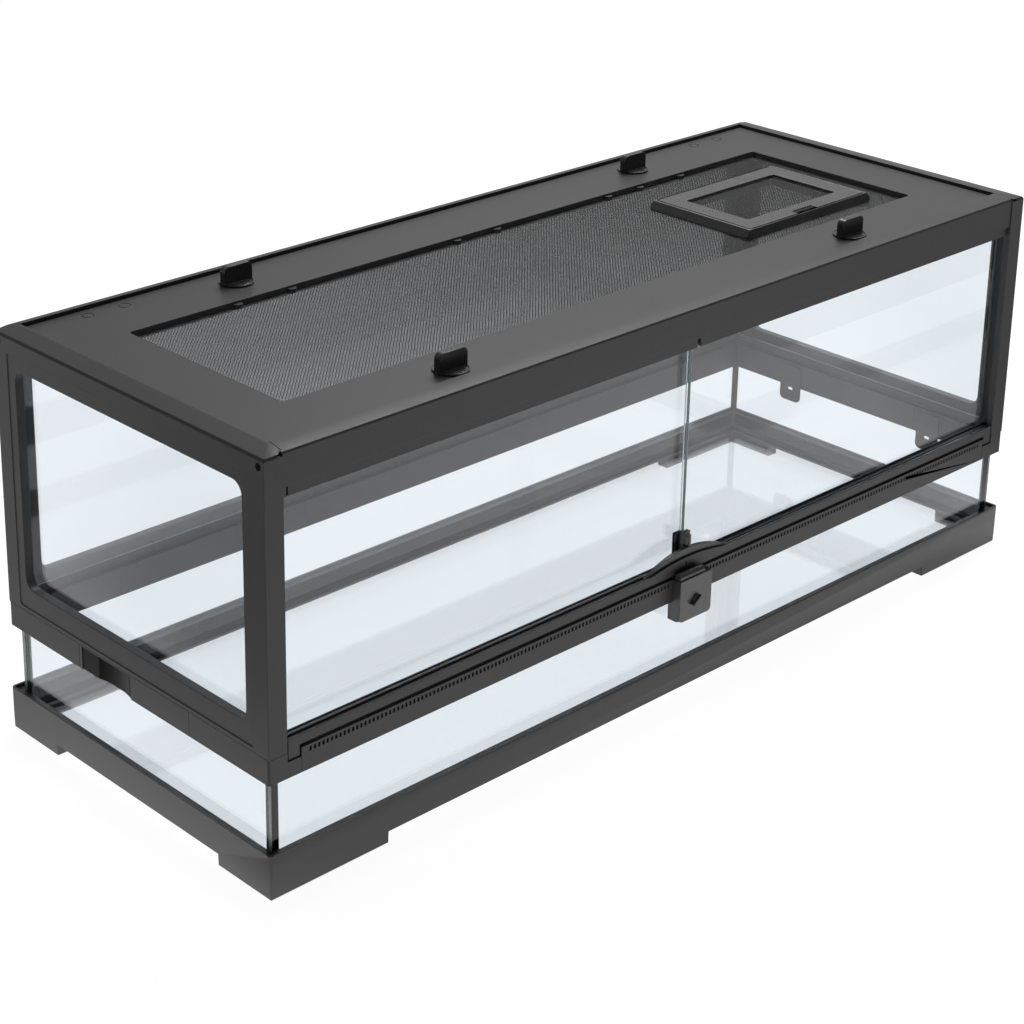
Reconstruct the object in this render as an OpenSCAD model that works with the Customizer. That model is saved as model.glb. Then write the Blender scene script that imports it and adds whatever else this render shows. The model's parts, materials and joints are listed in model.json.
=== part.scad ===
// Reptile terrarium: a glass basin in a footed base tray, a clip-together mid band with
// a front vent strip, two sliding glass doors and a lift-off screen cover with a feeder hatch.
// X runs along the length, Y to the back and Z up. Units are millimetres.

/* [Overall] */
// Length of the base tray along X
tank_w = 1200; // [1180:5:1260]
// Depth of the base tray along Y
tank_d = 450; // [440:5:500]

/* [Base and basin] */
// Height of the base tray
base_h = 50; // [48:1:56]
// How far each outer face of the base leans in toward the floor
base_taper = 1.5; // [0:0.5:2]
// Wall thickness of the base tray
base_wall = 3; // [2.5:0.1:3.2]
// Height of the long gaps between the feet
foot_gap_h = 13; // [8:1:15]
// Length of each foot along the front and back
foot_x = 154; // [120:1:180]
// Length of each foot along the sides
foot_y = 85; // [60:1:110]

/* [Mid band] */
// Lower edge of the mid band above the floor
band_z0 = 126; // [124:1:128]
// Centre-to-centre distance of the vent slots
vent_pitch = 5.4; // [5:0.1:8]
// Width of one vent slot
vent_slot = 2.6; // [2:0.1:3.2]

/* [Doors] */
// How far the two door panes lap over each other at the middle
door_lap = 12; // [8:1:16]

/* [Screen cover] */
// Distance of the four turn knobs from the ends of the tank
knob_end = 282; // [240:2:320]
// Height of the knob's finger grip above its flange
grip_h = 20; // [14:1:22]
// X position of the feeder hatch's centre
feeder_x = 943; // [800:1:950]

/* [Hidden] */
$fn = 64;
W = tank_w;
D = tank_d;
inset = 2.8;                 // mid band and upper frames stand in from the base by this
lock_reach = 15;             // the lock's turn knob stands this far in front of the base
floor_z = 22;                // underside of the floor pane
floor_top = 28;
gl0 = 11;                    // outer face of the basin panes, from the base's outer face
gl1 = 16;                    // inner face of the basin panes
basin_top = 146;
band_z1 = 154;
band_in_z0 = 120;
band_in = 18.6;              // inner face of the mid band
centre_y0 = 129;             // joints of the middle side pieces of the band
centre_y1 = D - 133;
corner_x = 43;               // front corner piece of the band, along X
rear_corner_x = 140;
scoop_r = 110;               // radius of the left port's scoop
post_w = 26;                 // front face of the upper corner posts ends here
plate_in = 14;               // inner face of the upper side frames
top_z = 470;                 // crown of the top rails
edge_z = 465;                // outer top edge of the upper frames
win_y0 = 37.5;
win_y1 = D - 37.5;
win_z0 = 182;
win_z1 = 432;
win_r = 14;
screw_y = 11;
screw_z = 457.5;
rail_in = 28.5;              // inner face of the front and side top rails
rear_in = 13.5;              // inner face of the rear top rail, from the back of the base
ledge_z = 457;               // ledge that carries the screen cover
ledge_t = 3.6;
ledge_in = 41;
track_z = 159.5;             // floor of the lower door grooves
rib_z = 161.8;               // tops of the low ribs between those grooves
lip_z = 162.2;               // top and back of the lip behind them
lip_y1 = 28.4;
vent_z1 = 153.6;             // top edge of the vent strip
pane_f0 = 14;                // front pane (right door)
pane_f1 = 18;
pane_r0 = 22;                // rear pane (left door)
pane_r1 = 26;
pane_z0 = 160;
pane_z1 = 440;
pane_end = 16;
groove = 0.6;                // play on each side of a pane in its groove
mid_x = W / 2;
panel_z0 = 463;
panel_z1 = 466;
panel_x0 = 30;
panel_y0 = 30;
panel_y1 = D - rear_in - 1.5;
hole_x0 = 104;               // mesh opening of the screen cover
hole_x1 = W - 104;
hole_y0 = 100;
hole_y1 = 350;
hole_r = 4;
mesh_z0 = 458.4;
mesh_z1 = 459.4;
knob_y0 = 53;
knob_y1 = D - 53;
feeder_y = 208;
bez_w = 232;
bez_d = 160;
bez_top = 471;
door_w = 212;
door_d = 146;
door_z0 = 467.5;
door_z1 = 471.3;
door_gap = 0.7;
feed_win_w = 163;
feed_win_d = 97;
throat_w = 184;
throat_d = 120;
neck_gap = 6.5;              // from the throat to the cut edge of the cloth
neck_x0 = feeder_x - throat_w / 2 - neck_gap;
neck_x1 = feeder_x + throat_w / 2 + neck_gap;
neck_y0 = feeder_y - throat_d / 2 - neck_gap;
neck_y1 = feeder_y + throat_d / 2 + neck_gap;
mesh_cols = 9;               // windows of the plain grid that stands in for the wire cloth
mesh_rows = 3;
mesh_bar = 6;                // width of the grid's bars
mesh_rim = 12;               // plain rim beside the neck
mesh_pitch_x = (neck_x0 - mesh_rim - hole_x0) / mesh_cols;
mesh_pitch_y = (hole_y1 - hole_y0) / mesh_rows;
pin_y = feeder_y + door_d / 2 - 4;
pin_z = (door_z0 + door_z1) / 2;
lock_w = 52;
lock_y0 = -10;
turn_z = 127;

PLASTIC = [0.085, 0.083, 0.085];
DARK = [0.03, 0.03, 0.032];
SEAL = [0.02, 0.02, 0.022];
GLASS = [0.80, 0.88, 0.92, 0.35];
STEEL = [0.62, 0.62, 0.60];
MESH = [0.12, 0.12, 0.12];

// Moves the drawing frame (front left bottom corner) to the middle of the footprint.
module place() {
  translate([-W / 2, -(D - lock_reach) / 2, 0])
    children();
}

module flip_x() {
  translate([W, 0, 0])
    mirror([1, 0, 0])
      children();
}

module flip_y() {
  translate([0, D, 0])
    mirror([0, 1, 0])
      children();
}

module box(a, b) {
  translate(a)
    cube([b[0] - a[0], b[1] - a[1], b[2] - a[2]]);
}

module sq(x0, y0, x1, y1) {
  translate([x0, y0])
    square([x1 - x0, y1 - y0]);
}

// Rounded rectangle from corner to corner.
module rr(x0, y0, x1, y1, r) {
  sq(x0 + r, y0, x1 - r, y1);
  sq(x0, y0 + r, x1, y1 - r);
  for (x = [x0 + r, x1 - r])
    for (y = [y0 + r, y1 - r])
      translate([x, y])
        circle(r);
}

// Bars with a (Y, Z), (X, Z) or (X, Y) section.
module xbar(x0, x1) {
  translate([x0, 0, 0])
    rotate([90, 0, 90])
      linear_extrude(x1 - x0)
        children();
}

module ybar(y0, y1) {
  translate([0, y1, 0])
    rotate([90, 0, 0])
      linear_extrude(y1 - y0)
        children();
}

module zbar(z0, z1) {
  translate([0, 0, z0])
    linear_extrude(z1 - z0)
      children();
}

// ---------- base and basin ----------

module foot_gaps() {
  box([foot_x, -1, -1], [W - foot_x, D + 1, foot_gap_h]);
  box([-1, foot_y, -1], [W + 1, D - foot_y, foot_gap_h]);
}

module base_shell() {
  difference() {
    intersection() {
      xbar(0, W)
        polygon([[base_taper, 0], [0, base_h], [D, base_h], [D - base_taper, 0]]);
      ybar(0, D)
        polygon([[base_taper, 0], [0, base_h], [W, base_h], [W - base_taper, 0]]);
      zbar(0, base_h)
        rr(0, 0, W, D, 5);
    }
    zbar(floor_z, base_h + 1)
      rr(base_wall, base_wall, W - base_wall, D - base_wall, 2);
    zbar(-1, floor_z - 3)
      rr(base_wall + base_taper, base_wall + base_taper, W - base_wall - base_taper,
        D - base_wall - base_taper, 2);
    box([24, 24, floor_z - 4], [W - 24, D - 24, floor_z + 1]);
    foot_gaps();
  }
}

// Flange and end webs that stiffen each foot from the inside.
module foot_ribs() {
  difference() {
    zbar(0, 3)
      rr(4, 4, W - 4, D - 4, 2);
    box([18, 18, -1], [W - 18, D - 18, 4]);
    foot_gaps();
  }
  for (x = [foot_x - 3, W - foot_x])
    for (y = [4, D - 18])
      box([x, y, 0], [x + 3, y + 14, floor_z - 2.5]);
  for (y = [foot_y - 3, D - foot_y])
    for (x = [4, W - 18])
      box([x, y, 0], [x + 14, y + 3, floor_z - 2.5]);
}

module base_tray() {
  color(PLASTIC) place() {
    base_shell();
    foot_ribs();
  }
}

module floor_glass() {
  color(GLASS) place()
    box([5, 5, floor_z], [W - 5, D - 5, floor_top]);
}

module pane_front() {
  box([gl0, gl0, floor_top], [W - gl0, gl1, basin_top]);
}

module pane_side() {
  box([gl0, gl1 + 0.8, floor_top], [gl1, D - gl1 - 0.8, basin_top]);
}

module basin_glass_front() {
  color(GLASS) place()
    pane_front();
}

module basin_glass_rear() {
  color(GLASS) place()
    flip_y() pane_front();
}

module basin_glass_left() {
  color(GLASS) place()
    pane_side();
}

module basin_glass_right() {
  color(GLASS) place()
    flip_x() pane_side();
}

// Black bead that fills the gap between the tray's rim and the basin panes.
module basin_sealant() {
  color(SEAL) place()
    difference() {
      zbar(floor_top, base_h - 3.5)
        rr(base_wall, base_wall, W - base_wall, D - base_wall, 2);
      box([gl0, gl0, floor_top - 1], [W - gl0, D - gl0, base_h]);
    }
}

module corner_seam() {
  box([gl0, gl1, floor_top], [gl1, gl1 + 0.8, basin_top]);
  zbar(floor_top, band_in_z0 - 0.5)
    difference() {
      sq(gl1, gl1, gl1 + 6, gl1 + 6);
      translate([gl1 + 6, gl1 + 6])
        circle(6);
    }
}

module floor_seam() {
  xbar(gl1, W - gl1)
    polygon([[gl1, floor_top], [gl1 + 4, floor_top], [gl1, floor_top + 4]]);
}

module floor_seam_side() {
  ybar(gl1, D - gl1)
    polygon([[gl1, floor_top], [gl1 + 4, floor_top], [gl1, floor_top + 4]]);
}

module basin_seams() {
  color(SEAL) place() {
    corner_seam();
    flip_x() corner_seam();
    flip_y() corner_seam();
    flip_x() flip_y() corner_seam();
    floor_seam();
    flip_y() floor_seam();
    floor_seam_side();
    flip_x() floor_seam_side();
  }
}

// ---------- mid band ----------

// Section of the band: outer skin, two lips that grip the pane and a top web.
module band_section() {
  sq(inset, band_z0, 5.2, band_z1);
  sq(8.4, band_z0, gl0 - 0.1, band_z1);
  sq(inset, basin_top + 0.1, band_in, band_z1);
  sq(gl1 + 0.1, band_in_z0, band_in, band_z1);
}

module ell(d0, d1, lx, ly) {
  sq(d0, d0, lx, d1);
  sq(d0, d0, d1, ly);
}

module band_corner(lx, ly) {
  intersection() {
    union() {
      zbar(band_z0, band_z1) ell(inset, 5.2, lx, ly);
      zbar(band_z0, band_z1) ell(8.4, gl0 - 0.1, lx, ly);
      zbar(basin_top + 0.1, band_z1) ell(inset, band_in, lx, ly);
      zbar(band_in_z0, band_z1) ell(gl1 + 0.1, band_in, lx, ly);
    }
    zbar(band_in_z0 - 1, band_z1 + 1)
      rr(inset, inset, W - inset, D - inset, 3);
  }
}

module front_corner() {
  difference() {
    band_corner(corner_x, centre_y0 - 0.3);
    box([post_w, 2, 144], [corner_x + 1, 8.8, band_z1 + 1]);
    box([corner_x - 1, 8, band_z0 - 7], [corner_x + 1, 19, band_z1 + 1]);
  }
}

module band_corner_front_left() {
  color(PLASTIC) place()
    front_corner();
}

module band_corner_front_right() {
  color(PLASTIC) place()
    flip_x() front_corner();
}

module band_corner_rear_left() {
  color(PLASTIC) place()
    flip_y() band_corner(rear_corner_x - 0.3, D - centre_y1 - 0.3);
}

module band_corner_rear_right() {
  color(PLASTIC) place()
    flip_x() flip_y() band_corner(rear_corner_x - 0.3, D - centre_y1 - 0.3);
}

// The left middle piece is hollowed on its outer face for the scooped port.
module band_side_left() {
  color(PLASTIC) place()
    difference() {
      union() {
        ybar(centre_y0, centre_y1)
          band_section();
        box([inset, 224, band_z0], [8.6, 315, band_z1]);
      }
      box([inset - 1, 227, band_z0 - 1], [8, 312, 152.6]);
    }
}

// Smooth scooped insert of the left port, deepest in its middle.
module port_cover() {
  color(DARK) place()
    difference() {
      box([inset + 0.9, 227.2, band_z0 + 0.2], [7.9, 311.8, 152.4]);
      translate([7.4 - scoop_r, 256, band_z0 - 1])
        cylinder(h = 40, r = scoop_r, $fn = 256);
      box([inset - 1, 222, band_z0 - 1], [inset + 1.6, 262, 153]);
    }
}

module band_side_right() {
  color(PLASTIC) place()
    flip_x()
      ybar(centre_y0, centre_y1)
        band_section();
}

module band_rear() {
  color(PLASTIC) place()
    flip_y()
      xbar(rear_corner_x, W - rear_corner_x)
        band_section();
}

// Inner front piece of the band: grips the front pane and carries the door track.
module band_front() {
  color(PLASTIC) place()
    xbar(corner_x, W - corner_x) {
      sq(5.3, band_z0 + 0.2, gl0 - 0.1, 129);
      sq(8.4, band_z0 + 0.2, gl0 - 0.1, band_z1);
      sq(8.4, basin_top + 0.1, band_in, band_z1);
      sq(gl1 + 0.1, band_in_z0, band_in, band_z1);
    }
}

module vent_strip() {
  n = floor((W - 2 * corner_x - 14) / vent_pitch);
  first = mid_x - (n - 1) * vent_pitch / 2;
  color(PLASTIC) place()
    difference() {
      box([corner_x + 0.4, inset, band_z0], [W - corner_x - 0.4, 5.2, vent_z1]);
      for (i = [0 : n - 1])
        if (abs(first + i * vent_pitch - mid_x) > lock_w / 2 + 2)
          box([first + i * vent_pitch - vent_slot / 2, 2, 146],
            [first + i * vent_pitch + vent_slot / 2, 6, 150.5]);
    }
}

// Tongue that hangs inside the right side of the band, with a small cross hole.
module band_tab(y0) {
  difference() {
    xbar(band_in, band_in + 2) {
      sq(y0, 106, y0 + 34, 150);
      rr(y0, 99, y0 + 34, 120, 7);
    }
    box([band_in - 1, y0 + 13, 114.6], [band_in + 3, y0 + 21, 118.8]);
  }
}

module band_tab_front() {
  color(PLASTIC) place()
    flip_x() band_tab(89);
}

module band_tab_rear() {
  color(PLASTIC) place()
    flip_x() band_tab(D - 134);
}

// ---------- lower door track ----------

module arc_cap(r, top, z0, half) {
  intersection() {
    translate([mid_x, top - r])
      circle(r, $fn = 256);
    sq(mid_x - half, z0, mid_x + half, top + 1);
  }
}

module door_track_lower() {
  color(PLASTIC) place()
    difference() {
      union() {
        xbar(27.5, W - 27.5) {
          sq(3.6, 157, 6.4, 167);
          sq(3.6, 157, 12, track_z);
          sq(9.2, 154, 12, track_z);
        }
        for (x = [27.5, W - 41.5])
          box([x, 3.6, 145.5], [x + 14, 6.4, 158]);
        ybar(3.6, 6.4)
          arc_cap(280, 173.5, 160, 90);
        xbar(plate_in + 0.5, W - plate_in - 0.5) {
          sq(11, 154, lip_y1, track_z);
          sq(11, 154, pane_f0 - groove, rib_z);
          sq(pane_f1 + groove, 154, pane_r0 - groove, rib_z);
          sq(pane_r1 + groove, 154, lip_y1, lip_z);
        }
      }
      box([mid_x - 3.7, 3, 160], [mid_x - 2.2, 7, 168]);
    }
}

module track_guard() {
  color(DARK) place()
    ybar(6.4, 10.9)
      arc_cap(140, 183, track_z, 66);
}

// ---------- upper frames ----------

module top_envelope() {
  xbar(-1, W + 1)
    polygon([[inset, 100], [inset, edge_z - 1], [4.6, edge_z + 1.6], [24, top_z], [D - 9, top_z],
      [D - 4.4, top_z - 1.2], [D - inset, top_z - 4], [D - inset, 100]]);
}

module side_frame() {
  intersection() {
    difference() {
      union() {
        ybar(inset, D - inset) {
          sq(inset, band_z1, plate_in, 450);
          sq(inset, 449, 5.8, edge_z - 1);
          polygon([[inset, 462], [inset, edge_z - 1], [4.6, edge_z + 1.6], [24, top_z],
            [rail_in, top_z], [rail_in, 467], [24, 467], [5.8, 462]]);
          sq(rail_in - 3, ledge_z - ledge_t, rail_in, top_z - 1);
        }
        box([rail_in - 3, ledge_in + 0.3, ledge_z - ledge_t],
          [ledge_in, D - ledge_in - 0.3, ledge_z]);
        box([inset, inset, band_z1], [post_w, 10.5, 464]);
        box([inset, D - 13, band_z1], [post_w, D - inset, 464]);
        for (y = [inset, D - 19])
          box([inset, y, 453.6], [rail_in, y + 16.2, 464]);
      }
      xbar(-1, 20)
        rr(win_y0, win_z0, win_y1, win_z1, win_r);
      xbar(-1, inset + 0.8)
        rr(25, 159, D - 25, 448, 4);
      for (y = [screw_y, D - screw_y])
        translate([-1, y, screw_z])
          rotate([0, 90, 0]) {
            cylinder(h = 7.5, r = 4);
            cylinder(h = 40, r = 2);
          }
      box([post_w, 0, 150], [50, 9, 480]);
      box([post_w, D - 7, 150], [50, D + 1, 480]);
    }
    top_envelope();
  }
}

module side_frame_left() {
  color(PLASTIC) place()
    side_frame();
}

module side_frame_right() {
  color(PLASTIC) place()
    flip_x() side_frame();
}

module side_glass() {
  xbar(plate_in, plate_in + 4)
    sq(30, 168, D - 18.2, 447);
}

module side_glass_left() {
  color(GLASS) place()
    side_glass();
}

module side_glass_right() {
  color(GLASS) place()
    flip_x() side_glass();
}

module rear_frame() {
  color(PLASTIC) place()
    difference() {
      box([post_w + 0.2, D - 13, band_z1], [W - post_w - 0.2, D - inset, 448]);
      ybar(D - 20, D + 1)
        rr(41, win_z0, W - 41, win_z1, win_r);
    }
}

module rear_glass() {
  color(GLASS) place()
    box([28, D - 17.2, 168], [W - 28, D - 13.1, 446]);
}

// Screw boss at both ends of a top rail.
module end_bosses(y0, y1) {
  for (x = [rail_in + 0.3, W - rail_in - 14])
    box([x, y0, ledge_z - ledge_t], [x + 13.7, y1, 466]);
}

module boss_holes(y) {
  for (x = [rail_in - 1, W - rail_in - 14])
    translate([x, y, screw_z])
      rotate([0, 90, 0])
        cylinder(h = 15, r = 1.7);
}

module front_top_rail() {
  color(PLASTIC) place()
    difference() {
      union() {
        xbar(post_w + 0.3, W - post_w - 0.3) {
          sq(4.2, 431.5, 7.2, 465);
          polygon([[4.2, 464], [4.2, 465.4], [5.6, 467.2], [8.8, 467.6], [8.8, 464]]);
        }
        xbar(rail_in + 0.3, W - rail_in - 0.3) {
          sq(7.2, 419.8, 10.2, 456);
          polygon([[7.2, 463], [7.2, 467.4], [24, top_z], [rail_in, top_z], [rail_in, 466.5],
            [24, 466.5]]);
          sq(rail_in - 3, ledge_z - ledge_t, rail_in, top_z);
          sq(7.2, ledge_z - ledge_t, ledge_in, ledge_z);
        }
        end_bosses(7, 15);
      }
      boss_holes(screw_y);
      box([mid_x + 3, 6, 419], [mid_x + 8, 11, 430]);
      box([rail_in + 4, 6, 421], [rail_in + 6, 11, 431]);
    }
}

module door_track_upper() {
  color(PLASTIC) place()
    xbar(plate_in + 0.5, W - plate_in - 0.5) {
      sq(11, 450, 29.4, ledge_z - ledge_t - 0.2);
      sq(11, 421, pane_f0 - groove, 451);
      sq(pane_f1 + groove, 421, pane_r0 - groove, 451);
      sq(pane_r1 + groove, 421, 29.4, 451);
    }
}

module rear_top_rail() {
  color(PLASTIC) place()
    flip_y()
      difference() {
        union() {
          xbar(post_w + 0.3, W - post_w - 0.3) {
            sq(inset, 448.3, 5.8, 466);
            polygon([[inset, 464], [inset, 466], [4.4, 468.8], [6.7, 469.4], [6.7, 464]]);
          }
          xbar(rail_in + 0.3, W - rail_in - 0.3) {
            polygon([[5.8, 464], [5.8, 469.2], [9, top_z], [rear_in, top_z], [rear_in, 464]]);
            sq(rear_in - 3, ledge_z - ledge_t, rear_in, top_z);
            sq(5.8, ledge_z - ledge_t, ledge_in, ledge_z);
          }
          end_bosses(5.8, 13.5);
        }
        boss_holes(screw_y);
      }
}

module frame_screw() {
  rotate([0, 90, 0])
    difference() {
      union() {
        cylinder(h = 2.6, r = 3.4);
        cylinder(h = 36, r = 1.6);
      }
      translate([-0.5, -2.2, -1])
        cube([1, 4.4, 2.2]);
      translate([-2.2, -0.5, -1])
        cube([4.4, 1, 2.2]);
    }
}

module frame_screws() {
  color(STEEL) place()
    for (y = [screw_y, D - screw_y]) {
      translate([3.9, y, screw_z])
        frame_screw();
      flip_x()
        translate([3.9, y, screw_z])
          frame_screw();
    }
}

// ---------- doors ----------

module door_glass_left() {
  color(GLASS) place()
    box([pane_end, pane_r0, pane_z0], [mid_x + door_lap / 2, pane_r1, pane_z1]);
}

module door_glass_right() {
  color(GLASS) place()
    box([mid_x + 8 - door_lap / 2, pane_f0, pane_z0], [W - pane_end, pane_f1, pane_z1]);
}

// Edge clip of a pane: a U that hugs its lower corner. x is the pane's free edge, s its side.
module edge_clip(x, s, y0, y1, z0, z1) {
  difference() {
    if (s > 0)
      box([x - 10, y0 - 1.4, z0], [x + 1.4, y1 + 1.4, z1]);
    else
      box([x - 1.4, y0 - 1.4, z0], [x + 10, y1 + 1.4, z1]);
    if (s > 0)
      box([x - 11, y0, z0 - 1], [x, y1, z1 + 1]);
    else
      box([x, y0, z0 - 1], [x + 11, y1, z1 + 1]);
  }
}

module door_clip_left() {
  color(DARK) place()
    edge_clip(mid_x + door_lap / 2, 1, pane_r0, pane_r1, 168, 196);
}

// The right clip also has the slotted finger pull that stands out over the track guard.
module door_clip_right() {
  x = mid_x + 8 - door_lap / 2;
  color(DARK) place() {
    edge_clip(x, -1, pane_f0, pane_f1, 168, 199);
    difference() {
      box([x - 1.4, 4, 185], [x + 2, 13, 199]);
      box([x - 3, 6.4, 184], [x + 3, 8.6, 195]);
    }
  }
}

// ---------- front lock ----------

module lock_body() {
  x0 = mid_x - lock_w / 2;
  x1 = mid_x + lock_w / 2;
  color(PLASTIC) place()
    difference() {
      union() {
        ybar(lock_y0, inset) {
          rr(x0, 104, x1, 130, 5);
          sq(x0, 118, x1, 154.6);
        }
        box([x0, lock_y0 + 4, 104], [x1 - 6, 8, band_z0 - 0.4]);
        translate([x0 + 1, -3.6, 157])
          rotate([0, 90, 0])
            cylinder(h = 40, r = 5);
        box([x0 + 1, -3.6, 155.1], [x0 + 41, 8.6, 156.8]);
      }
      box([mid_x - 15, lock_y0 + 3, 111], [mid_x + 15, inset + 1, 143]);
      translate([mid_x, lock_y0 - 1, turn_z])
        rotate([-90, 0, 0])
          cylinder(h = 6, r = 2.56);
      box([x0 - 1, -3.6, 153.9], [x0 + 1.2, 9, 163]);
    }
}

module lock_turn_knob() {
  color(DARK) place()
    translate([mid_x, lock_y0, turn_z])
      rotate([-90, 0, 0]) {
        translate([0, 0, -1.8])
          cylinder(h = 1.5, r = 5);
        translate([0, 0, -1])
          cylinder(h = 8.4, r = 2.5);
        rotate(-35)
          translate([-9, -1.8, -(lock_reach + lock_y0)])
            cube([15, 3.6, lock_reach + lock_y0 - 0.4]);
      }
}

module lock_cam() {
  color(STEEL) place()
    translate([mid_x, lock_y0 + 3.6, turn_z])
      rotate([-90, 0, 0])
        difference() {
          linear_extrude(2.4) {
            circle(5);
            rr(-4, 0, 4, 13.5, 3.9);
          }
          translate([0, 0, -1])
            cylinder(h = 5, r = 2.52);
        }
}

// ---------- screen cover ----------

module lug(x) {
  translate([x, hole_y1, mesh_z1 + 0.1])
    cylinder(h = 4, r = 6);
}

module screen_frame() {
  color(PLASTIC) place()
    difference() {
      union() {
        zbar(panel_z0, panel_z1)
          rr(panel_x0, panel_y0, W - panel_x0, panel_y1, 2);
        difference() {
          box([panel_x0, panel_y0, ledge_z + 0.3], [W - panel_x0, panel_y1, panel_z0 + 0.5]);
          box([panel_x0 + 2.5, panel_y0 + 2.5, ledge_z - 1],
            [W - panel_x0 - 2.5, panel_y1 - 2.5, panel_z0 + 1]);
        }
        zbar(mesh_z1, panel_z0 + 0.5)
          rr(hole_x0 - 2.5, hole_y0 - 2.5, hole_x1 + 2.5, hole_y1 + 2.5, 6);
      }
      difference() {
        zbar(mesh_z1 - 1, panel_z1 + 1)
          rr(hole_x0, hole_y0, hole_x1, hole_y1, hole_r);
        for (x = [246, 321, 568, 632, 822, 879, 954])
          lug(x);
      }
      for (x = [knob_end, W - knob_end])
        for (y = [knob_y0, knob_y1])
          translate([x, y, panel_z0 - 1])
            cylinder(h = 5, r = 5.06);
      for (x = [101, 148, W - 141, W - 96])
        translate([x, panel_y1 - 16, panel_z1 - 0.4])
          difference() {
            cylinder(h = 1, r = 7);
            translate([0, 0, -1])
              cylinder(h = 3, r = 6);
          }
    }
}

// Window in column i and row j of the grid that stands in for the wire cloth
module mesh_window(i, j) {
  x = hole_x0 + i * mesh_pitch_x;
  y = hole_y0 + j * mesh_pitch_y;
  box([x + mesh_bar / 2, y + mesh_bar / 2, mesh_z0 - 1],
    [x + mesh_pitch_x - mesh_bar / 2, y + mesh_pitch_y - mesh_bar / 2, mesh_z1 + 1]);
}

module screen_mesh() {
  color(MESH) place()
    difference() {
      box([hole_x0 - 8, hole_y0 - 8, mesh_z0], [hole_x1 + 8, hole_y1 + 8, mesh_z1]);
      for (i = [0:mesh_cols - 1], j = [0:mesh_rows - 1])
        mesh_window(i, j);
      box([neck_x0, neck_y0, mesh_z0 - 2], [neck_x1, neck_y1, mesh_z1 + 2]);
    }
}

module mesh_retainer() {
  color(PLASTIC) place()
    difference() {
      box([hole_x0 - 11, hole_y0 - 11, mesh_z0 - 3], [hole_x1 + 11, hole_y1 + 11, mesh_z0]);
      box([hole_x0, hole_y0, mesh_z0 - 4], [hole_x1, hole_y1, mesh_z0 + 1]);
    }
}

module knob() {
  translate([0, 0, panel_z1 + 0.3])
    difference() {
      cylinder(h = 2, r = 19.5);
      translate([0, 0, 1.2])
        difference() {
          cylinder(h = 2, r = 18);
          translate([0, 0, -1])
            cylinder(h = 4, r = 16);
        }
    }
  translate([0, 0, 450])
    cylinder(h = panel_z1 + 1 - 450, r = 5);
  translate([0, 0, panel_z1 + 2.1])
    ybar(-4.5, 4.5)
      difference() {
        rr(-19, -8, 19, grip_h, 7);
        sq(-20, -9, 20, 0);
      }
}

module tongue(s) {
  difference() {
    union() {
      zbar(449.6, 452.6) {
        circle(8);
        if (s > 0)
          rr(-6, -6, 20.5, 6, 5.9);
        else
          rr(-20.5, -6, 6, 6, 5.9);
      }
      translate([0, 0, 449.6])
        cylinder(h = 13, r = 8);
    }
    translate([0, 0, 448])
      cylinder(h = 16, r = 5.02);
  }
}

module knob_front_left() {
  color(DARK) place()
    translate([knob_end, knob_y0, 0]) knob();
}

module knob_front_right() {
  color(DARK) place()
    translate([W - knob_end, knob_y0, 0]) knob();
}

module knob_rear_left() {
  color(DARK) place()
    translate([knob_end, knob_y1, 0]) knob();
}

module knob_rear_right() {
  color(DARK) place()
    translate([W - knob_end, knob_y1, 0]) knob();
}

module tongue_front_left() {
  color(DARK) place()
    translate([knob_end, knob_y0, 0]) tongue(-1);
}

module tongue_front_right() {
  color(DARK) place()
    translate([W - knob_end, knob_y0, 0]) tongue(-1);
}

module tongue_rear_left() {
  color(DARK) place()
    translate([knob_end, knob_y1, 0]) tongue(1);
}

module tongue_rear_right() {
  color(DARK) place()
    translate([W - knob_end, knob_y1, 0]) tongue(1);
}

// ---------- feeder hatch ----------

// Flat rectangle centred on the feeder, w by d.
module feed(w, d, r) {
  rr(feeder_x - w / 2, feeder_y - d / 2, feeder_x + w / 2, feeder_y + d / 2, r);
}

module feeder_bezel() {
  x0 = feeder_x - bez_w / 2;
  x1 = feeder_x + bez_w / 2;
  y0 = feeder_y - bez_d / 2;
  y1 = feeder_y + bez_d / 2;
  base_z = mesh_z1 + 0.1;
  color(DARK) place()
    difference() {
      union() {
        intersection() {
          ybar(y0, y1)
            polygon([[x0, base_z], [x1, base_z], [x1, base_z + 2], [x1 - 6, bez_top],
              [x0 + 6, bez_top], [x0, base_z + 2]]);
          xbar(x0, x1)
            polygon([[y0, base_z], [y1, base_z], [y1, base_z + 2], [y1 - 4, bez_top],
              [y0 + 4, bez_top], [y0, base_z + 2]]);
          zbar(base_z, bez_top)
            feed(bez_w, bez_d, 8);
        }
        zbar(452.4, base_z + 1)
          feed(throat_w + 12, throat_d + 12, 5);
      }
      zbar(door_z0 - 0.5, bez_top + 1)
        feed(door_w + 2 * door_gap, door_d + 2 * door_gap, 4);
      zbar(450, bez_top + 1)
        feed(throat_w, throat_d, 4);
      box([feeder_x - door_w / 2 - door_gap, pin_y - 6, 464],
        [feeder_x + door_w / 2 + door_gap, feeder_y + door_d / 2 + door_gap, 470]);
      translate([feeder_x - door_w / 2 - 3.2, pin_y, pin_z])
        rotate([0, 90, 0])
          cylinder(h = door_w + 6.4, r = 1.56);
      box([feeder_x - 6.6, feeder_y - door_d / 2 - 2.9, 467.8],
        [feeder_x + 6.6, feeder_y - door_d / 2, 470.1]);
      box([feeder_x - 24, feeder_y - door_d / 2 - door_gap, 465.6],
        [feeder_x + 24, feeder_y - throat_d / 2 + 1, 468]);
    }
}

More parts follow.
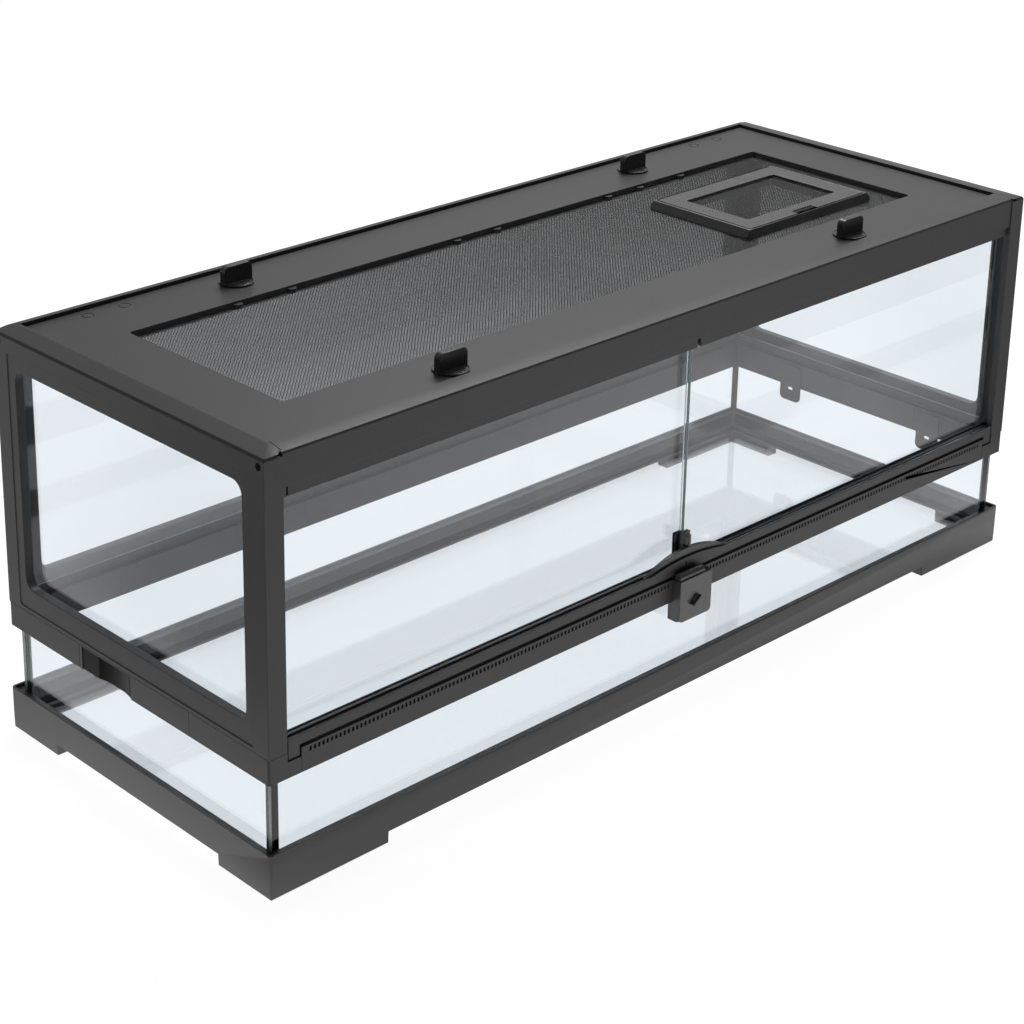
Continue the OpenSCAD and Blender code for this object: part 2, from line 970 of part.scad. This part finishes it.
module feeder_door() {
  fy = feeder_y - door_d / 2;
  color(PLASTIC) place()
    difference() {
      zbar(door_z0, door_z1)
        feed(door_w, door_d, 3.5);
      zbar(door_z0 - 1, door_z1 + 1)
        feed(feed_win_w, feed_win_d, 3);
      box([feeder_x - 18, fy - 1, door_z0 - 1], [feeder_x + 18, fy + 10, door_z1 + 1]);
      for (x = [feeder_x - door_w / 2 - 1, feeder_x + door_w / 2 - 5])
        translate([x, pin_y, pin_z])
          rotate([0, 90, 0])
            cylinder(h = 6, r = 1.51);
    }
}

module feeder_mesh() {
  color(MESH) place()
    zbar(door_z0 - 0.9, door_z0)
      feed(feed_win_w + 10, feed_win_d + 10, 2);
}

module feeder_latch() {
  fy = feeder_y - door_d / 2;
  color(DARK) place() {
    box([feeder_x - 17.4, fy + 3, door_z0 - 0.9], [feeder_x + 17.4, fy + 9.6, door_z1 - 0.4]);
    box([feeder_x - 6, fy + 0.4, 468.2], [feeder_x + 6, fy + 4, 469.8]);
    box([feeder_x - 22, fy + 3, door_z0 - 1.6], [feeder_x + 22, fy + 9.6, door_z0 - 0.3]);
  }
}

module feeder_hinge_pins() {
  color(STEEL) place()
    for (x = [feeder_x - door_w / 2 - 3, feeder_x + door_w / 2 - 4.8])
      translate([x, pin_y, pin_z])
        rotate([0, 90, 0])
          cylinder(h = 7.8, r = 1.5);
}

base_tray();
floor_glass();
basin_glass_front();
basin_glass_rear();
basin_glass_left();
basin_glass_right();
basin_sealant();
basin_seams();
band_corner_front_left();
band_corner_front_right();
band_corner_rear_left();
band_corner_rear_right();
band_side_left();
port_cover();
band_side_right();
band_rear();
band_front();
vent_strip();
band_tab_front();
band_tab_rear();
door_track_lower();
track_guard();
side_frame_left();
side_frame_right();
side_glass_left();
side_glass_right();
rear_frame();
rear_glass();
front_top_rail();
door_track_upper();
rear_top_rail();
frame_screws();
door_glass_left();
door_glass_right();
door_clip_left();
door_clip_right();
lock_body();
lock_turn_knob();
lock_cam();
screen_frame();
screen_mesh();
mesh_retainer();
knob_front_left();
knob_front_right();
knob_rear_left();
knob_rear_right();
tongue_front_left();
tongue_front_right();
tongue_rear_left();
tongue_rear_right();
feeder_bezel();
feeder_door();
feeder_mesh();
feeder_latch();
feeder_hinge_pins();
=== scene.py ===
"""Looks of a long reptile terrarium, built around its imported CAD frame.

Every rigid piece of the frame is copied, its edges are rounded to their moulded or ground
radius, and the copy stands for the node. The two wire cloths are woven wire by wire.

The frame is in metres. Values named _MM are millimetres, and places in millimetres are
counted from the front left bottom corner of the base tray, as in the drawing.
"""

import json
import math

import bmesh
import bpy
import numpy as np
from mathutils import Matrix, Vector
from mathutils.bvhtree import BVHTree
from mathutils.geometry import delaunay_2d_cdt

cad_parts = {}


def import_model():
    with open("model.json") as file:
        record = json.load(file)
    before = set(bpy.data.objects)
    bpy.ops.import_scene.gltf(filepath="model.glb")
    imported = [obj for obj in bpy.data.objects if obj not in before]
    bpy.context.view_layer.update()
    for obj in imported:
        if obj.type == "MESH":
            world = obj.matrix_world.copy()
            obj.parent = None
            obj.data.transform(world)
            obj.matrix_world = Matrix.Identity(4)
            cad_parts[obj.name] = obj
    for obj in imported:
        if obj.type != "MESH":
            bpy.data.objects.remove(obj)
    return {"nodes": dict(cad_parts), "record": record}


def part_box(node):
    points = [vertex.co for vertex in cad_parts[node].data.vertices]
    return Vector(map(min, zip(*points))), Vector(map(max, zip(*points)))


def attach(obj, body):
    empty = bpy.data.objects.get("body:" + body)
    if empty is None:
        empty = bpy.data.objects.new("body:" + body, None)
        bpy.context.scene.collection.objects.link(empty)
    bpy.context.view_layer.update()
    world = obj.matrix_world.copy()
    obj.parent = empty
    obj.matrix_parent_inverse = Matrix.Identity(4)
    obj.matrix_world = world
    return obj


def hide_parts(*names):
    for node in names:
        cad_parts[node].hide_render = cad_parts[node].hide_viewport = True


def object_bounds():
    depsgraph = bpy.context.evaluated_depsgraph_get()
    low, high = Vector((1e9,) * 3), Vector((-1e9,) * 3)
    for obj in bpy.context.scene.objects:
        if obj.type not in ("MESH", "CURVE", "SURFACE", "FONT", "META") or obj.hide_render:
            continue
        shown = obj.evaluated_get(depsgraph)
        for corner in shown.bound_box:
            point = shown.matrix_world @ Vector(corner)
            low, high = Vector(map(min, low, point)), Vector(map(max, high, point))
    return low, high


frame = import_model()
cad_low, cad_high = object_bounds()
record = frame["record"]
nodes = frame["nodes"]
body_of = {n: b for b, names in record["behaviour"]["bodies"].items() for n in names}
slot_of = {s["node"]: s["material_slot"] for s in record["subparts"]}

MM = 0.001
ORIGIN_MM = (600, 217.5)  # the frame's origin, in the drawing


def in_scene(name, data):
    """A new object, linked to the scene."""
    made = bpy.data.objects.new(name, data)
    bpy.context.scene.collection.objects.link(made)
    return made


# ---------- camera, fitted to the photograph ----------

SENSOR_MM = 36
LENS_MM = 83.945
SHIFT = (0.0703, -0.2217)
CLIP_M = (0.05, 60)
CAMERA_AT = (-1.8310556, -1.7732340, 1.3495682)
CAMERA_RIGHT = Vector((0.7339603, -0.6791434, 0.0081568))
CAMERA_UP = Vector((0.2241893, 0.2535863, 0.9409746))
CAMERA_AHEAD = Vector((0.6411251, 0.6888093, -0.3383790))


def add_camera():
    data = bpy.data.cameras.new("camera")
    data.sensor_width = SENSOR_MM
    data.lens = LENS_MM
    data.shift_x, data.shift_y = SHIFT
    data.clip_start, data.clip_end = CLIP_M
    cam = in_scene("camera", data)
    turn = Matrix((CAMERA_RIGHT, CAMERA_UP, -CAMERA_AHEAD)).transposed().to_4x4()
    cam.matrix_world = Matrix.Translation(CAMERA_AT) @ turn
    bpy.context.scene.camera = cam


# ---------- node trees ----------

def rgba(colour):
    """A colour or a grey with its alpha. Another node's output stays as it is."""
    if isinstance(colour, bpy.types.NodeSocket):
        return colour
    if isinstance(colour, float):
        colour = (colour, colour, colour)
    return (*colour, 1)


class Tree:
    """Short calls for building a node tree. A value is plain or another node's output."""

    def __init__(self, owner, output="OutputMaterial"):
        owner.use_nodes = True
        self.t = owner.node_tree
        self.t.nodes.clear()
        self.surface = self.add(output).inputs["Surface"]

    def add(self, kind, **values):
        """A node of that kind with its settings, or the plain values of its inputs."""
        node = self.t.nodes.new("ShaderNode" + kind)
        for name, value in values.items():
            if hasattr(node, name):
                setattr(node, name, value)
            else:
                node.inputs[name.replace("_", " ")].default_value = value
        return node

    def link(self, output, socket):
        self.t.links.new(output, socket)

    def feed(self, sockets, values):
        """Gives each socket its value."""
        for socket, value in zip(sockets, values):
            if isinstance(value, bpy.types.NodeSocket):
                self.link(value, socket)
            else:
                socket.default_value = value

    def noise(self, scale, detail, rough, stretch=None):
        """Noise in the piece's own coordinates."""
        place = self.add("TexCoord").outputs["Object"]
        if stretch:
            mapping = self.add("Mapping", Scale=stretch)
            self.link(place, mapping.inputs["Vector"])
            place = mapping.outputs["Vector"]
        texture = self.add("TexNoise", Scale=scale, Detail=detail, Roughness=rough)
        self.link(place, texture.inputs["Vector"])
        return texture.outputs["Fac"]

    def remap(self, value, old, new):
        """The value, stretched from its old range (low, high) to the new one."""
        node = self.add("MapRange")
        names = ("Value", "From Min", "From Max", "To Min", "To Max")
        self.feed([node.inputs[name] for name in names], (value, *old, *new))
        return node.outputs["Result"]

    def ramp(self, value, stops):
        """A colour for the value. Each stop is (position, colour or grey)."""
        node = self.add("ValToRGB")
        elements = node.color_ramp.elements
        while len(elements) < len(stops):
            elements.new(0.5)
        for element, (position, colour) in zip(elements, stops):
            element.position = position
            element.color = rgba(colour)
        self.link(value, node.inputs["Fac"])
        return node.outputs["Color"]

    def shade(self, value, span, dark, light):
        """A colour that runs from dark to light over the value's span."""
        return self.ramp(value, ((span[0], dark), (span[1], light)))

    def bump(self, height, distance_mm, strength, below=None):
        """A bumpy normal, on top of the one below."""
        node = self.add("Bump", Strength=strength, Distance=distance_mm * MM)
        self.link(height, node.inputs["Height"])
        if below:
            self.link(below, node.inputs["Normal"])
        return node.outputs["Normal"]

    def maths(self, operation, *values):
        node = self.add("Math", operation=operation)
        self.feed(node.inputs, values)
        return node.outputs[0]

    def mixed(self, factor, a, b):
        """Colour a where the factor is 0 and b where it is 1."""
        node = self.add("MixRGB")
        self.feed(node.inputs, (factor, rgba(a), rgba(b)))
        return node.outputs[0]


# ---------- materials ----------

# Noises, each with its scale, detail and roughness, and how it is stretched
CLOUD = (14, 4, 0.6)
GRAIN = (1500, 3, 0.65)
WAVE = (60, 1, 0.4)
GRINDING = (900, 2, 0.5)
DRAWN = (500, 3, 0.6, (1, 1, 6))
COATING = (420, 2, 0.6)
NOISE_SPAN = (0.3, 0.7)        # nearly all of a noise lies between these
CLOUD_SPAN = (0.3, 0.72)       # the same, for the colour of a cloud
CLOUD_GLOSS = (-0.03, 0.04)    # what the cloud and the grain add to the roughness
GRAIN_GLOSS = (-0.05, 0.05)
WAVE_MM, WAVE_STRENGTH = 0.06, 0.5
GRAIN_STRENGTH = 0.7


def shaded(name, **values):
    """A new material with one principled shader: the material, its tree and the shader."""
    mat = bpy.data.materials.new(name)
    t = Tree(mat)
    p = t.add("BsdfPrincipled", **values)
    t.link(p.outputs[0], t.surface)
    return mat, t, p


def moulded(name, dark, light, rough, grain_mm, shine=0.5):
    """Moulded plastic: faint cloudy colour, fine grain bump and uneven gloss."""
    mat, t, p = shaded(name, IOR=1.5, Specular_IOR_Level=shine)
    cloud, grain, wave = (t.noise(*kind) for kind in (CLOUD, GRAIN, WAVE))
    t.link(t.shade(cloud, CLOUD_SPAN, dark, light), p.inputs["Base Color"])
    cloudy = t.remap(cloud, NOISE_SPAN, [rough + more for more in CLOUD_GLOSS])
    t.link(t.maths("ADD", cloudy, t.remap(grain, NOISE_SPAN, GRAIN_GLOSS)), p.inputs["Roughness"])
    wavy = t.bump(wave, WAVE_MM, WAVE_STRENGTH)
    t.link(t.bump(grain, grain_mm, GRAIN_STRENGTH, below=wavy), p.inputs["Normal"])
    return mat


def glass(name, tint):
    """Float glass. Its shadow is clear and lightly tinted."""
    mat, t, p = shaded(name, Base_Color=(*tint, 1), Transmission_Weight=1.0, IOR=1.52,
                       Roughness=0.0)
    clear = t.add("BsdfTransparent", Color=(*(c ** 0.5 for c in tint), 1))
    mix = t.add("MixShader")
    in_shadow = t.add("LightPath").outputs["Is Shadow Ray"]
    t.feed(mix.inputs, (in_shadow, p.outputs[0], clear.outputs[0]))
    t.link(mix.outputs[0], t.surface)
    return mat


def marked(name, noise, dark, light, rough, **values):
    """A surface with fine marks in its colour and its roughness, which runs over rough."""
    mat, t, p = shaded(name, **values)
    marks = t.noise(*noise)
    t.link(t.shade(marks, NOISE_SPAN, dark, light), p.inputs["Base Color"])
    t.link(t.remap(marks, NOISE_SPAN, rough), p.inputs["Roughness"])
    return mat


FINISHES = {
    "black_plastic": (moulded, dict(dark=(0.056, 0.055, 0.0555), light=(0.068, 0.066, 0.067),
                                    rough=0.42, grain_mm=0.03, shine=0.3)),
    "gloss_black": (moulded, dict(dark=(0.050, 0.050, 0.051), light=(0.058, 0.058, 0.059),
                                  rough=0.26, grain_mm=0.008)),
    "satin_black": (moulded, dict(dark=(0.046, 0.045, 0.0455), light=(0.054, 0.053, 0.0535),
                                  rough=0.28, grain_mm=0.012, shine=0.8)),
    "deep_black": (moulded, dict(dark=(0.006, 0.006, 0.006), light=(0.010, 0.010, 0.010),
                                 rough=0.3, grain_mm=0.008, shine=0.06)),
    "clear_glass": (glass, dict(tint=(0.865, 0.895, 0.92))),
    # the ground edge of a pane: slightly frosted and blue-green
    "glass_edge": (marked, dict(noise=GRINDING, dark=(0.55, 0.68, 0.70), light=(0.72, 0.82, 0.84),
                                rough=(0.25, 0.4), Transmission_Weight=0.6, IOR=1.46)),
    "black_silicone": (moulded, dict(dark=(0.012, 0.012, 0.013), light=(0.02, 0.02, 0.021),
                                     rough=0.3, grain_mm=0.02)),
    "steel": (marked, dict(noise=DRAWN, dark=(0.16, 0.16, 0.16), light=(0.30, 0.30, 0.29),
                           rough=(0.29, 0.43), Metallic=1.0)),
    "black_steel": (marked, dict(noise=DRAWN, dark=(0.010, 0.010, 0.010),
                                 light=(0.022, 0.022, 0.022), rough=(0.34, 0.48), Metallic=1.0)),
    # powder-coated wire: satin, a little lumpy
    "wire_mesh": (marked, dict(noise=COATING, dark=(0.012, 0.012, 0.012),
                               light=(0.020, 0.020, 0.020), rough=(0.45, 0.6))),
}
MAT = {name: make(name, **values) for name, (make, values) in FINISHES.items()}
LOOK = {  # nodes whose finish isn't their slot's own
    "feeder_bezel": "satin_black", "feeder_door": "satin_black", "feeder_latch": "deep_black",
    "port_cover": "deep_black", "frame_screws": "black_steel", "lock_body": "satin_black",
}


# ---------- refined CAD pieces ----------

ROUND_MM = {  # edge radius of each node; a node that isn't here gets its slot's
    "base_tray": 0.7, "side_frame_left": 0.6, "side_frame_right": 0.6, "screen_frame": 0.4,
    "lock_body": 0.4, "lock_turn_knob": 0.4, "feeder_bezel": 1.2, "feeder_door": 1.0,
}
SLOT_ROUND_MM = {"black_plastic": 0.35, "gloss_black": 0.6, "clear_glass": 0.4,
                 "black_silicone": 0.3, "steel": 0.2}
ROUND_SEGMENTS = 2
ROUND_FROM = math.radians(28)  # the bend from which an edge is rounded
FLAT_TO = math.radians(0.4)    # the bend up to which triangles are joined to one flat face
WELD_M = 2e-6                  # points of the CAD mesh that are nearer than this are one
JOIN_M = 1e-7                  # points of the rounded mesh that are nearer than this are one
ON_FACE_M = 2e-6               # what lies nearer to a face than this is on it
OUTSIDE, INSIDE = 0.35, 0.6    # how far out of or into the node rounding may go, in radii

GRIDDED = ("screen_frame",)    # thin panels whose large flat faces get an even net
LARGE_M2 = 1e-3                # the area from which a face is large
GRID_M = 0.015
GRID_CLEAR_M = 0.003           # the net's points stay this far from the face's corners
SAME_POINT_M = 1e-8
TRIANGLES = 0                  # what delaunay_2d_cdt is asked for

# Cosines of the bend up to which a face lies in the CAD's face, a flat face blends with the
# faces round it, a rounded strip does, and a pane's face is not its ground edge
IN_PLANE = 0.9998
FACE_BLEND = 0.88
STRIP_BLEND = 0.6
PANE_FACE = 0.95
MINOR = 0.25                   # smaller shares than this of the largest face don't count


def flat_net(bm, normal, level):
    """Gives the flat face at that level an even net of triangles, so its edges round cleanly."""
    on = {v for v in bm.verts if abs(v.co.dot(normal) - level) < ON_FACE_M}
    old = [f for f in bm.faces if on.issuperset(f.verts)]
    gone = set(old)
    edges = list(dict.fromkeys(e for f in old for e in f.edges))
    rim = [e for e in edges if len(gone.intersection(e.link_faces)) == 1]
    bmesh.ops.delete(bm, geom=old, context="FACES_ONLY")
    bmesh.ops.delete(bm, geom=[e for e in edges if not e.link_faces], context="EDGES")
    turn = normal.to_track_quat("Z", "Y")
    verts = list(dict.fromkeys(v for e in rim for v in e.verts))
    index = {v: i for i, v in enumerate(verts)}
    flat = [(turn.inverted() @ v.co).to_2d() for v in verts]
    pairs = [(index[e.verts[0]], index[e.verts[1]]) for e in rim]
    start, end = (np.array([flat[pair[k]] for pair in pairs]) for k in (0, 1))

    def inside(x, y):
        across = (start[:, 1] > y) != (end[:, 1] > y)
        step = (end - start)[across]
        share = (y - start[across, 1]) / step[:, 1]
        return (start[across, 0] + share * step[:, 0] > x).sum() % 2 == 1

    corners = np.array(flat)
    xs, ys = (np.arange(low + GRID_M / 2, high, GRID_M)
              for low, high in zip(corners.min(axis=0), corners.max(axis=0)))
    for x in xs:
        for y in ys:
            if inside(x, y) and np.hypot(*(corners - (x, y)).T).min() > GRID_CLEAR_M:
                flat.append(Vector((x, y)))
                verts.append(bm.verts.new(turn @ Vector((x, y, level))))
    net = delaunay_2d_cdt(flat, pairs, [], TRIANGLES, SAME_POINT_M, True)
    points, faces, origin = net[0], net[2], net[3]
    for face in faces:
        middle = sum((points[i] for i in face), Vector((0, 0))) / 3
        if inside(*middle):
            f = bm.faces.new([verts[origin[i][0]] for i in face])
            f.normal_update()
            if f.normal.dot(normal) < 0:
                f.normal_flip()


def planes_of(node):
    """The plane of each face of the node, and each plane's whole area."""
    plane, area = [], {}
    for p in nodes[node].data.polygons:
        key = (*(round(c, 3) for c in p.normal), round(p.normal.dot(p.center), 5))
        plane.append(key)
        area[key] = area.get(key, 0) + p.area
    return plane, area


def clean_copy(node):
    """The node's mesh, with its triangles joined to flat faces or laid out in an even net."""
    bm = bmesh.new()
    bm.from_mesh(nodes[node].data)
    bmesh.ops.remove_doubles(bm, verts=bm.verts, dist=WELD_M)
    if node in GRIDDED:
        plane, area = planes_of(node)
        large = {key: (p.normal.copy(), p.normal.dot(p.center))
                 for p, key in zip(nodes[node].data.polygons, plane) if area[key] > LARGE_M2}
        for normal, level in large.values():
            flat_net(bm, normal, level)
    else:
        bmesh.ops.dissolve_limit(bm, angle_limit=FLAT_TO, verts=bm.verts, edges=bm.edges)
    me = bpy.data.meshes.new(node + "_sharp")
    bm.to_mesh(me)
    bm.free()
    return me


def surface_of(node):
    """The node's own mesh, for finding the nearest point on it."""
    bm = bmesh.new()
    bm.from_mesh(nodes[node].data)
    tree = BVHTree.FromBMesh(bm)
    bm.free()
    return tree


def pull_back(me, node, tree, width):
    """Puts points that the rounding threw off back on the node, keeps all in its box and
    joins those that meet."""
    low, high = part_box(node)
    for v in me.vertices:
        at, normal, _, far = tree.find_nearest(v.co)
        outside = (v.co - at).dot(normal) > 0
        if far > (OUTSIDE if outside else INSIDE) * width:
            v.co = at
        v.co = [min(max(c, a), b) for c, a, b in zip(v.co, low, high)]
    bm = bmesh.new()
    bm.from_mesh(me)
    bmesh.ops.remove_doubles(bm, verts=bm.verts, dist=JOIN_M)
    bm.to_mesh(me)
    bm.free()
    me.update()


def even_normals(me, node, tree):
    """Flat faces shade flat, and each rounded strip blends from one face to the next."""
    plane, area = planes_of(node)
    facing, weight, on_face = [], [], []
    around = [[] for _ in me.vertices]
    for p in me.polygons:
        _, normal, i, far = tree.find_nearest(p.center)
        flat = far < ON_FACE_M and normal.dot(p.normal) > IN_PLANE
        facing.append(normal if flat else p.normal.copy())
        weight.append(area[plane[i]] if flat else p.area)
        on_face.append(flat)
        for v in p.vertices:
            around[v].append(p.index)
    normals = []
    for p in me.polygons:
        mine = facing[p.index]
        limit = FACE_BLEND if on_face[p.index] else STRIP_BLEND
        for v in p.vertices:
            near = [q for q in around[v] if facing[q].dot(mine) > limit]
            near = [q for q in near if on_face[q]] or near or [p.index]
            most = max(weight[q] for q in near)
            total = Vector()
            for q in near:
                if weight[q] > MINOR * most:
                    total += facing[q] * (weight[q] / most if most else 1.0)
            normals.append(total.normalized())
    me.normals_split_custom_set(normals)


def rounded(node, width):
    """A new object that is the node with its edges rounded. The width is in metres."""
    sharp = in_scene(node + "_sharp", clean_copy(node))
    for p in sharp.data.polygons:
        p.use_smooth = True
    bevel = sharp.modifiers.new("round", "BEVEL")
    bevel.width = width
    bevel.segments = ROUND_SEGMENTS
    bevel.limit_method = "ANGLE"
    bevel.angle_limit = ROUND_FROM
    bevel.use_clamp_overlap = False
    depsgraph = bpy.context.evaluated_depsgraph_get()
    me = bpy.data.meshes.new_from_object(sharp.evaluated_get(depsgraph), depsgraph=depsgraph)
    me.name = node + "_looks"
    old = sharp.data
    bpy.data.objects.remove(sharp)
    bpy.data.meshes.remove(old)
    tree = surface_of(node)
    pull_back(me, node, tree, width)
    even_normals(me, node, tree)
    return in_scene(node + "_looks", me)


def dress(node):
    """Puts a rounded copy with its finish in the node's place."""
    slot = slot_of[node]
    made = rounded(node, ROUND_MM.get(node, SLOT_ROUND_MM[slot]) * MM)
    made.data.materials.append(MAT[LOOK.get(node, slot)])
    if slot == "clear_glass":
        made.data.materials.append(MAT["glass_edge"])
        low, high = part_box(node)
        size = high - low
        thin = min(range(3), key=lambda i: size[i])
        for p in made.data.polygons:
            p.material_index = 0 if abs(p.normal[thin]) > PANE_FACE else 1
    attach(made, body_of[node])
    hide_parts(node)


# ---------- woven wire ----------

PITCH_MM = 2.2
WIRE_R_MM = 0.37
SWAY_MM = 0.14
FEEDER_HOLE_MM = ((844.5, 1041.5), (141.5, 274.5))  # what the neck leaves out of the cloth
RING_MM = np.array([(1, 0), (0, 1), (-1, 0), (0, -1)]) * WIRE_R_MM  # a wire's square section
CORNER = np.arange(4)[None, :]
NEXT_CORNER = (CORNER + 1) % 4


def strands(along, spans, z, crossing0):
    """The points (in metres) and faces of the wires that run along X (0) or Y (1).

    Each span is a wire's (place across, start, end, number). z is the height of the cloth's
    middle, and the first wire of the other direction crosses at crossing0.
    """
    verts, quads, base = [], [], 0
    side = 1 if along == 0 else -1
    for across, start, end, number in spans:
        first = math.ceil((start - crossing0) / PITCH_MM)
        last = math.floor((end - crossing0) / PITCH_MM)
        crossing = np.arange(first, last + 1)
        over = side * np.where((crossing + number) % 2 == 0, 1.0, -1.0)
        place = np.concatenate(([start], crossing0 + crossing * PITCH_MM, [end]))
        height = np.concatenate(([z], z + SWAY_MM * over, [z]))
        count = len(place)
        rings = np.empty((count, 4, 3))
        rings[:, :, along] = place[:, None]
        rings[:, :, 1 - along] = across + RING_MM[None, :, 0]
        rings[:, :, 2] = height[:, None] + RING_MM[None, :, 1]
        verts.append(rings.reshape(-1, 3))
        ring = base + 4 * np.arange(count - 1)[:, None]
        walls = np.stack((ring + CORNER, ring + NEXT_CORNER,
                          ring + 4 + NEXT_CORNER, ring + 4 + CORNER), axis=-1)
        caps = base + np.array([(3, 2, 1, 0), 4 * (count - 1) + CORNER[0]])
        faces = np.concatenate((walls.reshape(-1, 4), caps))
        quads.append(faces if along == 0 else faces[:, ::-1])
        base += 4 * count
    points = np.concatenate(verts)
    points[:, :2] -= ORIGIN_MM
    return points * MM, np.concatenate(quads)


def cloth_piece(name, parts, body, node):
    """One piece of cloth from the points and faces of several sets of wires."""
    verts = np.concatenate([v for v, _ in parts])
    offsets = np.cumsum([0] + [len(v) for v, _ in parts[:-1]])
    quads = np.concatenate([q + offset for (_, q), offset in zip(parts, offsets)])
    me = bpy.data.meshes.new(name)
    me.vertices.add(len(verts))
    me.vertices.foreach_set("co", verts.astype(np.float32).ravel())
    me.loops.add(4 * len(quads))
    me.loops.foreach_set("vertex_index", quads.astype(np.int32).ravel())
    me.polygons.add(len(quads))
    me.polygons.foreach_set("loop_start", np.arange(0, 4 * len(quads), 4, dtype=np.int32))
    me.update(calc_edges=True)
    me.validate()
    me.polygons.foreach_set("use_smooth", np.ones(len(me.polygons), bool))
    me.materials.append(MAT["wire_mesh"])
    made = in_scene(name, me)
    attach(made, body)
    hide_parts(node)


def weave(name, body, node, hole=None, split=1):
    """A woven cloth in the node's place, as one piece called name, or each direction's wires
    in split pieces called name_1, name_2, and so on."""
    low, high = ([c / MM + o for c, o in zip(corner, ORIGIN_MM)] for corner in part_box(node))
    z = sum(corner.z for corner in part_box(node)) / 2 / MM
    places = [np.arange(a + PITCH_MM / 2, b, PITCH_MM) for a, b in zip(low, high)]
    pieces = []
    for across, along in ((0, 1), (1, 0)):
        for part in np.array_split(np.arange(len(places[across])), split):
            spans = []
            for i in part:
                at, ends = places[across][i], (low[along], high[along])
                if hole and hole[across][0] < at < hole[across][1]:
                    spans += [(at, ends[0], hole[along][0], i), (at, hole[along][1], ends[1], i)]
                else:
                    spans.append((at, *ends, i))
            pieces.append(strands(along, spans, z, places[along][0]))
    if split == 1:
        cloth_piece(name, pieces, body, node)
    else:
        for i, piece in enumerate(pieces, 1):
            cloth_piece(f"{name}_{i}", [piece], body, node)


# ---------- floor, world and lamp ----------

FLOOR_M = ((-4.5, -3.0), (6.0, 6.0))  # two corners
# The floor's own grey and its glow, as the camera sees them straight or through glass
PAINT_SEEN, GLOW_SEEN = 0.20, 0.95
# The same as they light the object. The glow's stops are (metres from the object, grey).
PAINT = 0.10
GLOW_BESIDE = ((0.0, 1.5), (0.10, 1.2), (0.25, 0.24), (0.60, 0.22), (0.90, 0.52))
GLOW_AHEAD = ((0.0, 1.0), (0.12, 0.95), (1.0, 0.95))
GLOW_BLEND_M = (-0.1, 0.1)  # how one runs into the other off the object's corners
# The room that surfaces reflect. Its stops are (0 in front to 1 at the back, grey).
ROOM = ((0.0, 0.05), (0.45, 0.08), (0.75, 0.42), (1.0, 0.60))
ROOM_BACK = {"X": 0.55, "Y": 0.83}
LAMP_AT, LAMP_AIM = Vector((1.35, 0.75, 2.4)), Vector((0.5, 0, 0))
LAMP_M, LAMP_W = (1.8, 1.2), 44


def seen_straight(t):
    """1 on rays from the camera, also behind glass, and 0 on all others."""
    path = t.add("LightPath").outputs
    clear = t.maths("MAXIMUM", path["Is Camera Ray"], path["Is Transmission Ray"])
    unscattered = t.maths("LESS_THAN", path["Diffuse Depth"], 0.5)
    return t.maths("MULTIPLY", clear, unscattered)


def axes(t, coordinates):
    """X, Y and Z of the texture coordinates of that kind."""
    split = t.add("SeparateXYZ")
    t.link(t.add("TexCoord").outputs[coordinates], split.inputs[0])
    return split.outputs


def floor():
    """A white table. It looks evenly white, and lights what stands on it mostly from close by."""
    (x0, y0), (x1, y1) = FLOOR_M
    me = bpy.data.meshes.new("floor")
    me.from_pydata([(x0, y0, 0), (x1, y0, 0), (x1, y1, 0), (x0, y1, 0)], [], [(0, 1, 2, 3)])
    mat = bpy.data.materials.new("floor")
    t = Tree(mat)
    seen = seen_straight(t)
    place = axes(t, "Object")
    half = (cad_high - cad_low) / 2
    beside, ahead = (t.maths("SUBTRACT", t.maths("ABSOLUTE", place[i]), half[i])
                     for i in range(2))
    away = t.maths("MAXIMUM", beside, ahead)
    share = t.remap(t.maths("SUBTRACT", beside, ahead), GLOW_BLEND_M, (0, 1))
    unseen = t.mixed(share, t.ramp(away, GLOW_AHEAD), t.ramp(away, GLOW_BESIDE))
    diffuse, emission, both = (t.add(kind) for kind in ("BsdfDiffuse", "Emission", "AddShader"))
    t.link(t.mixed(seen, PAINT, PAINT_SEEN), diffuse.inputs["Color"])
    t.link(t.mixed(seen, unseen, GLOW_SEEN), emission.inputs["Color"])
    t.feed(both.inputs, (diffuse.outputs[0], emission.outputs[0]))
    t.link(both.outputs[0], t.surface)
    me.materials.append(mat)
    made = in_scene("floor", me)


def world():
    """White behind glass. What surfaces reflect is dark in front and brighter at the back."""
    made = bpy.data.worlds.new("world")
    bpy.context.scene.world = made
    t = Tree(made, "OutputWorld")
    background = t.add("Background")
    place = axes(t, "Generated")
    back = t.maths("ADD", *(t.maths("MULTIPLY", place[axis], share)
                            for axis, share in ROOM_BACK.items()))
    room = t.ramp(t.remap(back, (-1, 1), (0, 1)), ROOM)
    t.link(t.mixed(seen_straight(t), room, 1.0), background.inputs["Color"])
    t.link(background.outputs[0], t.surface)


def lamp():
    """One large soft lamp above the right rear."""
    data = bpy.data.lights.new("overhead", "AREA")
    data.shape = "RECTANGLE"
    data.size, data.size_y = LAMP_M
    data.energy = LAMP_W
    made = in_scene("overhead", data)
    made.location = LAMP_AT
    made.rotation_mode = "QUATERNION"
    made.rotation_quaternion = (LAMP_AIM - LAMP_AT).to_track_quat("-Z", "Y")


add_camera()
for node in nodes:
    if slot_of[node] != "wire_mesh":
        dress(node)
weave("screen_cloth", "screen", "screen_mesh", hole=FEEDER_HOLE_MM, split=3)
weave("hatch_cloth", "hatch", "feeder_mesh")
floor()
world()
lamp()
bpy.context.scene.view_settings.view_transform = "Standard"
